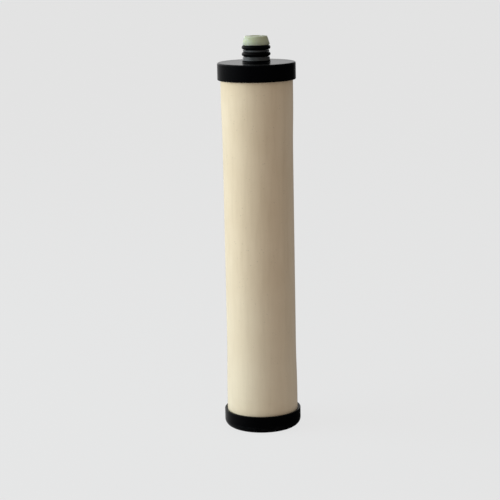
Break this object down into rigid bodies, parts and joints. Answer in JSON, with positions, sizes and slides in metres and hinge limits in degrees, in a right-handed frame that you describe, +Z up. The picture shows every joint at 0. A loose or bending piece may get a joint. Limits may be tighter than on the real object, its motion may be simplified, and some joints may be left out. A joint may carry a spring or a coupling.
{
  "type": "water filter cartridge",
  "caption": "Hand-pump water filter cartridge: ceramic tube between two black end caps, with a carbon core inside and an O-ringed outlet spigot with a check valve.",
  "frame": {"origin": "centre of the face the cartridge stands on, under its bottom cap", "axes": "+Z up the cartridge's axis, from the bottom cap to the outlet nose; +X to the right and +Y away from a viewer in front"},
  "size_m": [0.05, 0.05, 0.2555],
  "materials": {
    "black_plastic": "satin moulded",
    "potting_resin": "cast resin",
    "filter_ceramic": "unglazed, fine-grained",
    "white_fleece": "felted",
    "pressed_carbon": "rough pressed",
    "grey_rubber": "matte",
    "white_plastic": "extruded",
    "stainless_sheet": "etched sheet",
    "o_ring_rubber": "lightly greased",
    "acetal": "moulded",
    "red_silicone": "matte",
    "spring_steel": "drawn wire",
    "natural_plastic": "translucent moulded"
  },
  "bodies": {
    "cartridge": {"bottom_cap": "black_plastic", "bottom_potting_ring": "potting_resin", "ceramic_tube": "filter_ceramic", "outer_fleece": "white_fleece", "carbon_core": "pressed_carbon", "inner_fleece": "white_fleece", "lower_core_gasket": "grey_rubber", "upper_core_gasket": "grey_rubber", "collecting_tube": "white_plastic", "tube_end_plug": "white_plastic", "fines_screen": "stainless_sheet", "top_potting_ring": "potting_resin", "top_cap": "black_plastic", "lower_o_ring": "o_ring_rubber", "upper_o_ring": "o_ring_rubber", "valve_spring": "spring_steel", "spring_seat": "acetal", "outlet_nose": "natural_plastic"},
    "outlet_valve": {"valve_poppet": "acetal", "valve_seal": "red_silicone"}
  },
  "joints": [
    {"name": "valve_lift", "type": "slide", "parent": "cartridge", "child": "outlet_valve", "axis": [0, 0, 1], "range_m": [0, 0.002], "stiffness_N_per_m": 150, "springref_m": -0.002, "deforming": ["valve_spring"]}
  ]
}
